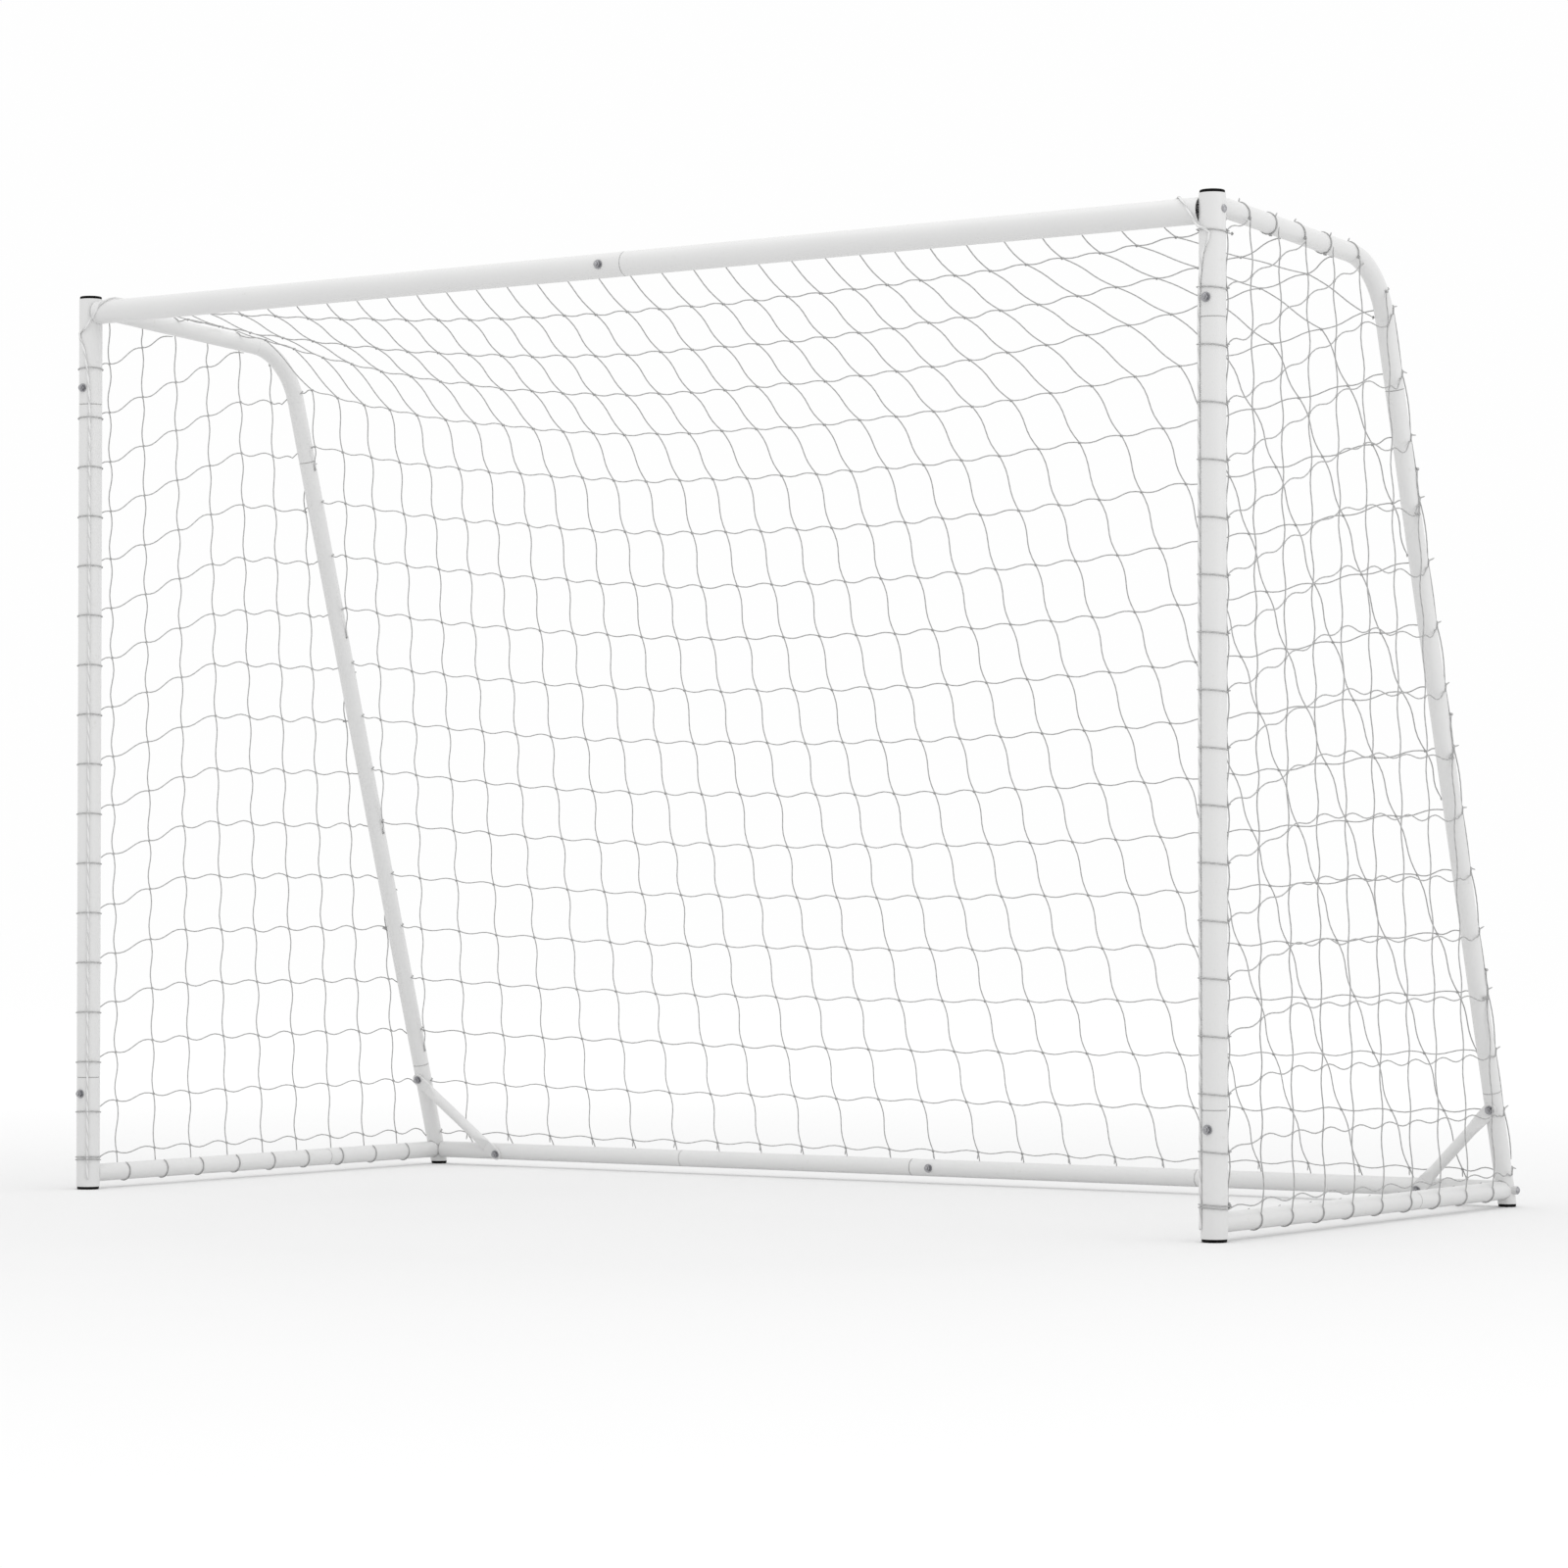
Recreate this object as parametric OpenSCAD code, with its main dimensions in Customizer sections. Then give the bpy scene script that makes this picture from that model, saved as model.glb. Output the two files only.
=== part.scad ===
// Free-standing goal frame with a net: two posts and a crossbar in front, bent side tubes
// that become sloping rear legs, and a ground frame. The tubes are short sections whose
// necked ends slide into the next section. Millimetres, +Z up, mouth facing -Y.

/* [Goal size] */
// Distance between the axes of the two posts
post_spacing = 2952; // [2400:1:3600]
// Height of the goal from the floor to the top of the post caps
goal_height = 2050; // [1900:1:2300]
// Distance from the post axis back to where the rear leg axis meets the floor
goal_depth = 1286; // [1150:1:1500]
// Height of the crossbar axis below the top of the post caps
crossbar_drop = 38; // [36:1:60]
// Height of the top side tube axis below the top of the caps, at the post axis
side_tube_drop = 26; // [24:1:40]
// Height of the ground tube axes above the floor
ground_axis_z = 36.5; // [34:0.5:60]

/* [Tubes] */
// Outside diameter of the posts and the crossbar
post_d = 53; // [48:1:60]
// Outside diameter of the side, rear and ground tubes
tube_d = 40; // [36:1:42]
// Wall thickness of every tube
wall = 1.2; // [1:0.1:1.5]
// Radial play between a necked end and the sleeve around it
fit_gap = 0.15; // [0.1:0.05:0.4]
// Length of a necked end inside its sleeve
neck_length = 75; // [65:1:90]
// Slope of the top side tubes, down to the rear
top_slope = 3.3; // [1:0.1:6]
// Lean of the rear legs from the vertical
leg_lean = 16.7; // [14:0.1:18]
// Radius of the bend between top side tube and leg, at the tube axis
bend_r = 172; // [120:1:220]

/* [Joints] */
// Height of the lower seam of each post
post_low_seam = 255; // [220:1:320]
// Height of the upper seam of each post
post_high_seam = 1802; // [1700:1:1840]
// Distance from a post seam to the bolt that locks it
post_bolt_inset = 36; // [25:1:50]
// Distance from the middle of the crossbar to its seam
crossbar_seam = 54; // [40:1:60]
// Height of the lower seam of each rear leg
leg_low_seam = 250; // [245:1:320]
// Height of the upper seam of each rear leg
leg_high_seam = 1728; // [1600:1:1740]
// Distance from the post axis to the seam of each side ground tube
side_seam = 845; // [500:1:900]
// Distance from the middle to the outer seams of the rear ground tube
rear_seam = 715; // [500:1:800]
// Distance from the middle to the inner seam of the rear ground tube
rear_mid_seam = 48; // [40:1:60]
// Height on the leg of each corner brace's upper bolt
brace_high = 218; // [205:1:225]
// Distance along the rear ground tube from the leg axis to the brace's lower bolt
brace_reach = 203; // [180:1:230]

/* [Corner braces] */
// Outside diameter of the brace tube
brace_d = 25; // [20:1:28]
// Width of the flattened ends
brace_tab_w = 30; // [26:1:34]
// Thickness of the flattened ends
brace_tab_t = 3; // [2:0.5:4]

/* [Caps] */
// Thickness of a cap's flange, outside the tube
cap_t = 6.5; // [4:0.5:9]
// Rounding of a cap's outer edge
cap_round = 2.5; // [1:0.5:3]
// Depth of a cap's plug inside the tube
plug_depth = 19; // [12:1:20]

/* [Fasteners] */
// Nominal diameter of every bolt
bolt_d = 8; // [6:1:8]
// Diameter of the bolt holes in the tubes
hole_d = 8.6; // [8.4:0.1:9]
// Diameter of a domed bolt head
head_d = 17; // [14:1:20]
// Height of a domed bolt head
head_h = 5; // [4:0.5:6]
// Width across the flats of a nut
nut_flats = 13; // [13:1:14]
// Thickness of a nut
nut_h = 6.5; // [6:0.5:8]
// Outside diameter of a washer
washer_d = 20; // [16:1:24]
// Thickness of a washer
washer_t = 1.6; // [1:0.1:2]
// Length of the curved spacer under each rear corner bolt's head
spacer_l = 9; // [6:1:12]

/* [Net] */
// Thickness of the plain sheets that hold the net's place
sheet_t = 1; // [0.8:0.2:4]
// Diameter of the border cord
cord_d = 5; // [4:1:6]

/* [Hidden] */

$fn = 96;
white = [0.93, 0.93, 0.93];
black = [0.09, 0.09, 0.09];
zinc = [0.72, 0.72, 0.74];
plastic_grey = [0.8, 0.8, 0.8];
net_white = [0.97, 0.97, 0.97];

post_r = post_d / 2;
tube_r = tube_d / 2;
post_bore = post_r - wall;
tube_bore = tube_r - wall;
post_x = post_spacing / 2;
crossbar_z = goal_height - crossbar_drop;
side_tube_z = goal_height - side_tube_drop;
// air between a tube's shaped end and the tube it meets, and at the ends cut square
cut_gap = 0.4;
end_gap = 0.5;
square_hole = hole_d + 0.3;
// sizes of the bodies that only cut
far = 200;
overrun = 20;

// rear leg: a line that meets the floor at goal_depth and leans forward
leg_y_at = function(z) goal_depth - z * tan(leg_lean);
ground_y = leg_y_at(ground_axis_z);
// the corner where the side tube's line and the leg's line would meet
corner_y = (goal_depth - side_tube_z * tan(leg_lean)) / (1 - tan(leg_lean) * tan(top_slope));
corner_z = side_tube_z - corner_y * tan(top_slope);
bend_angle = 90 - leg_lean - top_slope;
tangent = bend_r * tan(bend_angle / 2);
bend_start_y = corner_y - tangent * cos(top_slope);
bend_start_z = corner_z + tangent * sin(top_slope);
bend_y = bend_start_y - bend_r * sin(top_slope);
bend_z = bend_start_z - bend_r * cos(top_slope);

// the object's front and rear limits, which put the origin at the middle of its footprint
thread_past_nut = 3;
nut_stack = washer_t + nut_h + thread_past_nut;
front_y = -post_r - nut_stack;
rear_y = leg_y_at(cap_t) + tube_r / cos(leg_lean);
mid_y = (front_y + rear_y) / 2;

// ---------- frames of reference ----------
module goal_frame() {
    translate([0, -mid_y, 0]) children();
}

module on_left() {
    mirror([1, 0, 0]) children();
}

module at_right_leg() {
    translate([post_x, goal_depth, 0]) rotate([leg_lean, 0, 0]) children();
}

// tilted like the legs, with its origin on the rear ground tube's axis at the right leg
module brace_frame() {
    translate([post_x, ground_y, ground_axis_z]) rotate([leg_lean, 0, 0]) children();
}

module along_x() {
    rotate([0, 90, 0]) children();
}

module along_y() {
    rotate([-90, 0, 0]) children();
}

// ---------- tube sections ----------
// the shoulder stands this far off the sleeve's end, and steps down over this length
shoulder = 2.4;
shoulder_step = 0.5;

// one section along +Z, its ends necked down where they slide into a sleeve
module tube_section(length, r, neck_low = false, neck_high = false) {
    bore = r - wall;
    neck_r = bore - fit_gap;
    neck_bore = neck_r - wall;
    low_outer = neck_low
        ? [[neck_r, -neck_length], [neck_r, shoulder - shoulder_step], [r, shoulder]]
        : [[r, 0]];
    high_outer = neck_high
        ? [[r, length - shoulder], [neck_r, length - shoulder + shoulder_step],
           [neck_r, length + neck_length]]
        : [[r, length]];
    high_inner = neck_high
        ? [[neck_bore, length + neck_length], [neck_bore, length - shoulder],
           [bore, length - 2 * shoulder]]
        : [[bore, length]];
    low_inner = neck_low
        ? [[bore, 2 * shoulder], [neck_bore, shoulder], [neck_bore, -neck_length]]
        : [[bore, 0]];
    rotate_extrude() polygon(concat(low_outer, high_outer, high_inner, low_inner));
}

// a hole right across a tube along Y, square on the head side for the bolt's neck
module cross_hole(r) {
    along_y() cylinder(d = hole_d, h = 2 * r + overrun, center = true);
    translate([0, r, 0]) cube([square_hole, r, square_hole], center = true);
}

// a stub welded to a tube at right angles, which the next tube slides over
stub_reach = 45;

module stub_outer(length) {
    cylinder(r = tube_bore - fit_gap, h = length);
}

module stub_bore(length) {
    translate([0, 0, -1]) cylinder(r = tube_bore - fit_gap - wall, h = length + 2);
}

// everything below a level, to cut the feet flat
module below(z) {
    translate([0, 0, z - far]) cube([2 * far, 2 * far, 2 * far], center = true);
}

// ---------- posts ----------
post_stub_length = post_r + stub_reach;

module post_top() {
    top = goal_height - cap_t;
    color(white) difference() {
        union() {
            translate([0, 0, post_high_seam]) cylinder(r = post_r, h = top - post_high_seam);
            translate([0, 0, side_tube_z]) rotate([-90 - top_slope, 0, 0])
                stub_outer(post_stub_length);
        }
        translate([0, 0, post_high_seam - 1]) cylinder(r = post_bore, h = top - post_high_seam + 2);
        translate([0, 0, side_tube_z]) rotate([-90 - top_slope, 0, 0]) stub_bore(post_stub_length);
        translate([0, 0, post_high_seam + post_bolt_inset]) cross_hole(post_r);
        translate([0, 0, crossbar_z]) along_x() cylinder(d = hole_d, h = post_d + overrun, center = true);
        translate([post_r, 0, crossbar_z]) cube([post_r, square_hole, square_hole], center = true);
    }
}

module post_middle() {
    length = post_high_seam - post_low_seam;
    color(white) difference() {
        translate([0, 0, post_low_seam]) tube_section(length, post_r, true, true);
        translate([0, 0, post_low_seam - post_bolt_inset]) cross_hole(post_r);
        translate([0, 0, post_high_seam + post_bolt_inset]) cross_hole(post_r);
    }
}

module post_foot() {
    color(white) difference() {
        union() {
            translate([0, 0, cap_t]) cylinder(r = post_r, h = post_low_seam - cap_t);
            translate([0, 0, ground_axis_z]) along_y() stub_outer(post_stub_length);
        }
        translate([0, 0, cap_t - 1]) cylinder(r = post_bore, h = post_low_seam);
        translate([0, 0, ground_axis_z]) along_y() stub_bore(post_stub_length);
        translate([0, 0, post_low_seam - post_bolt_inset]) cross_hole(post_r);
    }
}

// ---------- crossbar ----------
// the crossbar's ends are hollowed to the post and cut square beyond that
crossbar_clip = 23.5;

module crossbar_end_cut() {
    translate([post_x, 0, 0]) cylinder(r = post_r + cut_gap, h = 2 * goal_height);
    translate([post_x - crossbar_clip, -far, 0]) cube([far, 2 * far, 2 * goal_height]);
}

module crossbar_left() {
    color(white) difference() {
        translate([-post_x, 0, crossbar_z]) along_x() tube_section(post_x + crossbar_seam, post_r);
        on_left() crossbar_end_cut();
        translate([0, 0, crossbar_z]) cross_hole(post_r);
    }
}

module crossbar_right() {
    color(white) difference() {
        translate([crossbar_seam, 0, crossbar_z]) along_x()
            tube_section(post_x - crossbar_seam, post_r, true, false);
        crossbar_end_cut();
        translate([0, 0, crossbar_z]) cross_hole(post_r);
    }
}

// ---------- side tubes and rear legs ----------
leg_length = function(z) z / cos(leg_lean);

// straight from the post, round the bend and down the leg to its upper seam. The straight
// stretches run a little way into the bend, and step is how much thinner they are there
module side_tube_solid(r, step, extra = 0) {
    into_bend = 0.5;
    run = bend_start_y / cos(top_slope);
    seam = leg_length(leg_high_seam);
    bend_end = leg_length(bend_z + bend_r * sin(leg_lean));
    translate([0, 0, side_tube_z]) rotate([-90 - top_slope, 0, 0]) translate([0, 0, -extra])
        cylinder(r = r - step, h = run + extra + into_bend);
    translate([0, bend_y, bend_z]) rotate([90, 0, 90]) rotate([0, 0, leg_lean])
        rotate_extrude(angle = bend_angle) translate([bend_r, 0]) circle(r = r);
    translate([0, goal_depth, 0]) rotate([leg_lean, 0, 0]) translate([0, 0, seam - extra])
        cylinder(r = r - step, h = bend_end - seam + extra + into_bend);
}

module top_side_tube() {
    step = 0.08;
    color(white) difference() {
        side_tube_solid(tube_r, step);
        side_tube_solid(tube_bore - step, -step, 1);
        translate([0, 0, side_tube_z - far]) cylinder(r = post_r + cut_gap, h = 2 * far);
    }
}

module rear_leg_middle() {
    low = leg_length(leg_low_seam);
    length = leg_length(leg_high_seam) - low;
    color(white) difference() {
        at_right_leg() translate([0, 0, low]) tube_section(length, tube_r, true, true);
        brace_high_hole();
    }
}

module rear_leg_foot() {
    stub_length = tube_r + stub_reach;
    color(white) difference() {
        union() {
            at_right_leg() translate([0, 0, -overrun])
                cylinder(r = tube_r, h = leg_length(leg_low_seam) + overrun);
            translate([post_x, ground_y, ground_axis_z]) rotate([90, 0, 0]) stub_outer(stub_length);
        }
        at_right_leg() translate([0, 0, -1.5 * overrun])
            cylinder(r = tube_bore, h = leg_length(leg_low_seam) + 2 * overrun);
        translate([post_x, ground_y, ground_axis_z]) rotate([90, 0, 0]) stub_bore(stub_length);
        translate([post_x, goal_depth, 0]) below(cap_t);
        brace_high_hole();
        translate([post_x, ground_y, ground_axis_z]) along_x()
            cylinder(d = hole_d, h = tube_d + overrun, center = true);
        translate([post_x + tube_r, ground_y, ground_axis_z])
            cube([tube_r, square_hole, square_hole], center = true);
    }
}

// ---------- ground tubes ----------
module side_ground_tube_front() {
    color(white) difference() {
        translate([post_x, 0, ground_axis_z]) along_y() tube_section(side_seam, tube_r, false, true);
        translate([post_x, 0, -1]) cylinder(r = post_r + cut_gap, h = far);
    }
}

module side_ground_tube_rear() {
    color(white) difference() {
        translate([post_x, side_seam, ground_axis_z]) along_y() tube_section(ground_y - side_seam, tube_r);
        at_right_leg() translate([0, 0, -far / 2]) cylinder(r = tube_r + cut_gap, h = far);
        translate([post_x - far, ground_y - tube_r - end_gap, 0]) cube([2 * far, far, far]);
    }
}

module rear_ground_tube_end(neck) {
    color(white) difference() {
        translate([rear_seam, ground_y, ground_axis_z]) along_x()
            tube_section(post_x - rear_seam - tube_r - end_gap, tube_r, neck, false);
        brace_low_hole();
    }
}

// the bolt of the rear tube's inner joint, set back from the end of the neck it passes through
rear_bolt_inset = 22;
rear_bolt_x = neck_length - rear_mid_seam - rear_bolt_inset;

module at_rear_joint() {
    translate([rear_bolt_x, ground_y, ground_axis_z]) children();
}

module rear_ground_tube_left_middle() {
    color(white) difference() {
        translate([-rear_seam, ground_y, ground_axis_z]) along_x()
            tube_section(rear_seam - rear_mid_seam, tube_r, true, true);
        at_rear_joint() cross_hole(tube_r);
    }
}

module rear_ground_tube_right_middle() {
    color(white) difference() {
        translate([-rear_mid_seam, ground_y, ground_axis_z]) along_x()
            tube_section(rear_seam + rear_mid_seam, tube_r);
        at_rear_joint() cross_hole(tube_r);
    }
}

// ---------- corner braces ----------
brace_rise = (brace_high - ground_axis_z) / cos(leg_lean);
brace_length = sqrt(brace_rise * brace_rise + brace_reach * brace_reach);
brace_angle = atan2(brace_reach, brace_rise);
brace_seat = tube_r + 0.1;
tab_length = 34;
flare = 34;

module brace_high_hole() {
    brace_frame() translate([0, 0, brace_rise]) cross_hole(tube_r);
}

module brace_low_hole() {
    brace_frame() translate([-brace_reach, 0, 0]) cross_hole(tube_r);
}

// one flattened end with its flare into the round tube, bolt hole at the origin
module brace_end() {
    translate([0, brace_tab_t / 2, 0]) rotate([90, 0, 0]) cylinder(d = brace_tab_w, h = brace_tab_t);
    translate([-brace_tab_w / 2, -brace_tab_t / 2, 0]) cube([brace_tab_w, brace_tab_t, tab_length]);
    hull() {
        translate([-brace_tab_w / 2, -brace_tab_t / 2, tab_length - 1]) cube([brace_tab_w, brace_tab_t, 1]);
        translate([0, 0, tab_length + flare]) cylinder(d = brace_d, h = 1, $fn = 32);
    }
}

module corner_brace() {
    straight = brace_length - 2 * (tab_length + flare);
    color(white) brace_frame() translate([0, -brace_seat - brace_tab_t / 2, brace_rise])
        rotate([0, 180 + brace_angle, 0]) difference() {
            union() {
                brace_end();
                translate([0, 0, brace_length]) rotate([0, 180, 0]) brace_end();
                translate([0, 0, tab_length + flare]) cylinder(d = brace_d, h = straight);
            }
            translate([0, 0, tab_length + flare + 2]) cylinder(d = brace_d - 2 * wall, h = straight - 4);
            for (z = [0, brace_length])
                translate([0, 0, z]) along_y() cylinder(d = hole_d, h = 20, center = true);
        }
}

// ---------- caps ----------
module flange_profile(r, t, round_r) {
    square([r - round_r, t]);
    square([r, t - round_r]);
    translate([r - round_r, t - round_r]) circle(r = round_r);
}

// flange above the tube's rim, hollow plug below it
module end_cap(r, bore) {
    difference() {
        union() {
            rotate_extrude() intersection() {
                flange_profile(r, cap_t, cap_round);
                square([r, cap_t]);
            }
            translate([0, 0, -plug_depth]) cylinder(r = bore - fit_gap, h = plug_depth + 1);
        }
        translate([0, 0, -plug_depth - 1]) cylinder(r = bore - fit_gap - 2, h = plug_depth + 1);
    }
}

cap_r = post_r - 1.5;

module post_cap() {
    color(black) translate([0, 0, goal_height - cap_t]) end_cap(cap_r, post_bore);
}

module post_foot_cap() {
    color(black) translate([0, 0, cap_t]) mirror([0, 0, 1]) end_cap(cap_r, post_bore);
}

// the rear foot cap stands flat while its plug follows the leaning leg
module rear_foot_cap() {
    flange_r = tube_r - 1;
    plug_r = tube_bore - fit_gap;
    color(black) union() {
        translate([post_x, leg_y_at(cap_t), cap_t]) mirror([0, 0, 1]) rotate_extrude() intersection() {
            flange_profile(flange_r, cap_t, cap_round);
            square([flange_r, cap_t]);
        }
        difference() {
            at_right_leg() translate([0, 0, -10]) cylinder(r = plug_r, h = plug_depth + 16);
            at_right_leg() translate([0, 0, -11]) cylinder(r = plug_r - 2, h = plug_depth + 18);
            translate([post_x, goal_depth, 0]) below(cap_t - 1);
        }
    }
}

// ---------- fasteners ----------
// height of the square neck under a bolt's head
bolt_neck_h = 3.5;

// domed head above the origin, square neck and plain shank below it
module carriage_bolt(length) {
    dome_r = (head_d * head_d / 4 + head_h * head_h) / (2 * head_h);
    intersection() {
        translate([0, 0, head_h - dome_r]) sphere(r = dome_r);
        cylinder(d = head_d + 2, h = head_h + 1);
    }
    translate([-bolt_d / 2, -bolt_d / 2, -bolt_neck_h]) cube([bolt_d, bolt_d, bolt_neck_h + 0.5]);
    translate([0, 0, -length + 1]) cylinder(d = bolt_d, h = length);
    translate([0, 0, -length]) cylinder(d1 = bolt_d - 2, d2 = bolt_d, h = 1);
}

// six-sided, chamfered on the outside face, bearing face at the origin
module hex_nut() {
    corner_r = nut_flats / 2 / cos(30);
    difference() {
        intersection() {
            cylinder(r = corner_r, h = nut_h, $fn = 6);
            union() {
                cylinder(r = corner_r + 0.1, h = nut_h - 1);
                translate([0, 0, nut_h - 1]) cylinder(r1 = corner_r + 0.1, r2 = nut_flats / 2 - 0.3, h = 1);
            }
        }
        translate([0, 0, -1]) cylinder(d = bolt_d + 0.1, h = nut_h + 2);
    }
}

module flat_washer() {
    difference() {
        cylinder(d = washer_d, h = washer_t);
        translate([0, 0, -1]) cylinder(d = hole_d, h = washer_t + 2);
    }
}

bolt_clear = 0.05;

// the three parts of one through bolt along Y at the origin: head at the rear, nut in front
module cross_bolt(r, extra = 0) {
    color(zinc) translate([0, r + bolt_clear, 0]) rotate([-90, 0, 0])
        carriage_bolt(2 * r + bolt_clear + extra + nut_stack);
}

module cross_washer(r, extra = 0) {
    color(zinc) translate([0, -r - bolt_clear - extra, 0]) rotate([90, 0, 0]) flat_washer();
}

module cross_nut(r, extra = 0) {
    color(zinc) translate([0, -r - 2 * bolt_clear - extra - washer_t, 0]) rotate([90, 0, 0]) hex_nut();
}

module each_post_joint() {
    for (side = [-1, 1], z = [post_low_seam - post_bolt_inset, post_high_seam + post_bolt_inset])
        translate([side * post_x, 0, z]) children();
}

module each_brace_bolt() {
    for (side = [0, 1])
        mirror([side, 0, 0]) brace_frame() {
            translate([0, 0, brace_rise]) children();
            translate([-brace_reach, 0, 0]) children();
        }
}

brace_stack = brace_seat - tube_r + brace_tab_t;

// threaded plugs inside the tube ends, and the bolts that draw those ends onto posts and legs.
// A bolt stops a little short of its plug's inner end
plug_l = 30;
crossbar_plug_inset = 16;
rear_plug_inset = 10;
bolt_short = 4;
crossbar_plug_x = post_x - post_r - plug_l - crossbar_plug_inset;
rear_plug_x = post_x - tube_r - plug_l - rear_plug_inset;

module crossbar_end_bolt() {
    color(zinc) translate([post_x + post_r + bolt_clear, 0, crossbar_z]) rotate([0, 90, 0])
        carriage_bolt(post_x + post_r - crossbar_plug_x - bolt_short);
}

module threaded_plug(r, length) {
    difference() {
        cylinder(r = r, h = length);
        translate([0, 0, -1]) cylinder(d = bolt_d + 0.1, h = length + 2);
    }
}

module crossbar_end_plug() {
    color(plastic_grey) translate([crossbar_plug_x, 0, crossbar_z]) along_x()
        threaded_plug(post_bore - fit_gap, plug_l);
}

module rear_tube_end_plug() {
    color(plastic_grey) translate([rear_plug_x, ground_y, ground_axis_z]) along_x()
        threaded_plug(tube_bore - fit_gap, plug_l);
}

module rear_corner_spacer() {
    color(plastic_grey) difference() {
        translate([post_x, ground_y, ground_axis_z]) along_x()
            translate([0, 0, tube_r / 2]) cylinder(d = head_d + 1, h = tube_r / 2 + spacer_l);
        at_right_leg() translate([0, 0, -far / 2]) cylinder(r = tube_r + bolt_clear, h = far);
        translate([post_x, ground_y, ground_axis_z]) along_x() cylinder(d = hole_d, h = far);
        translate([post_x, ground_y, ground_axis_z]) translate([tube_r + spacer_l, 0, 0])
            cube([2 * bolt_neck_h + 1, square_hole, square_hole], center = true);
    }
}

module rear_corner_bolt() {
    color(zinc) translate([post_x + tube_r + spacer_l + bolt_clear, ground_y, ground_axis_z])
        rotate([0, 90, 0]) carriage_bolt(post_x + tube_r + spacer_l - rear_plug_x - bolt_short);
}

// ---------- net ----------
// a plain sheet on the outer side of the side tubes, from post to leg
module side_net_panel() {
    inner_x = post_x + tube_r + 1.7;
    low = 52;
    front = 16;
    arc_steps = 6;
    arc = [for (i = [0 : arc_steps]) 90 - top_slope - i * bend_angle / arc_steps];
    outline = concat([[front, low], [front, side_tube_z - front * tan(top_slope)]],
        [for (a = arc) [bend_y + bend_r * cos(a), bend_z + bend_r * sin(a)]],
        [[leg_y_at(low), low]]);
    color(net_white) translate([inner_x, 0, 0]) rotate([90, 0, 90])
        linear_extrude(sheet_t) polygon(outline);
}

// the back sheet hangs from the crossbar to the rear ground tube. Its section is a bent line:
// slack in the middle, following the side tubes and legs at the edges
net_edge_x = post_x - tube_r - 12;
// how far the side tubes' pull reaches into the sheet
net_pull = 730;
// where the sheet is creased across its width, as shares of its half width
net_stations = [-1, -0.72, -0.36, 0.36, 0.72, 1];
// the section's points behind the post axis and below the crossbar axis
net_top_y = 45;
roof_end_y = 560;
net_foot = [ground_y - 12, ground_axis_z + 42];
slack_line = [[net_top_y, crossbar_z + 5], [roof_end_y, crossbar_z - 306],
    [709, crossbar_z - 512], net_foot];
edge_line = [[net_top_y, crossbar_z - 10], [roof_end_y, crossbar_z - 67],
    [735, crossbar_z - 237], net_foot];
edge_share = function(x) cosh(x / net_pull) / cosh(net_edge_x / net_pull);
cosh = function(t) (exp(t) + exp(-t)) / 2;
net_point = function(i, x) slack_line[i] + edge_share(x) * (edge_line[i] - slack_line[i]);
net_place = function(i, x) [x, net_point(i, x)[0], net_point(i, x)[1]];

// one flat three-cornered plate, shrunk a little to keep it clear of its neighbours
module net_plate(corners) {
    shrink = 0.03;
    middle = (corners[0] + corners[1] + corners[2]) / 3;
    hull() for (p = corners)
        translate(p + shrink * (middle - p)) cube(sheet_t, center = true);
}

module back_net_panel() {
    color(net_white) for (s = [0 : 4], i = [0 : 2]) {
        left = net_stations[s] * net_edge_x;
        right = net_stations[s + 1] * net_edge_x;
        near_split = s < 2.5 ? right : left;
        far_split = s < 2.5 ? left : right;
        net_plate([net_place(i, left), net_place(i, right), net_place(i + 1, near_split)]);
        net_plate([net_place(i + 1, left), net_place(i + 1, right), net_place(i, far_split)]);
    }
}

// the border cord: up the inner front of each post, across its top corner and along the crossbar
cord_off = post_r + cord_d / 2 + 0.6;
cord_low = 24;
// its place round the post, as shares of cord_off
cord_on_post = [-0.62, -0.78];
corner_route = [for (z = [cord_low, 600, 1200, crossbar_z - 222]) concat(cord_on_post, z)];
corner_turn = [[-0.5, -0.87, crossbar_z - 162], [-0.2, -0.98, crossbar_z - 107],
    [0.3, -0.95, crossbar_z - 60]];
post_route = [for (p = concat(corner_route, corner_turn))
    [post_x + p[0] * cord_off, p[1] * cord_off, p[2]]];
// over the top of the crossbar's end, then along its upper rear
bar_route = [[post_x - 14, -cord_off - 2, crossbar_z - 36], [post_x - 36, -cord_off + 2, crossbar_z - 6],
    [post_x - 58, -22, crossbar_z + 22], [post_x - 76, 0, crossbar_z + cord_off + 0.5],
    [post_x - 96, 16, crossbar_z + 26], [post_x - 300, 20, crossbar_z + 22.5]];
half_route = concat(post_route, bar_route);
last_point = len(half_route) - 1;
cord_route = concat(half_route, [for (i = [last_point : -1 : 0])
    [-half_route[i][0], half_route[i][1], half_route[i][2]]]);
cord_sides = 8;

unit = function(v) v / norm(v);
route_dir = function(i) unit(cord_route[min(i + 1, len(cord_route) - 1)] - cord_route[max(i - 1, 0)]);
// a direction that no stretch of the cord runs along
aside = [0, 1, 0.31];
cord_side = function(i) unit(cross(route_dir(i), aside));

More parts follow.
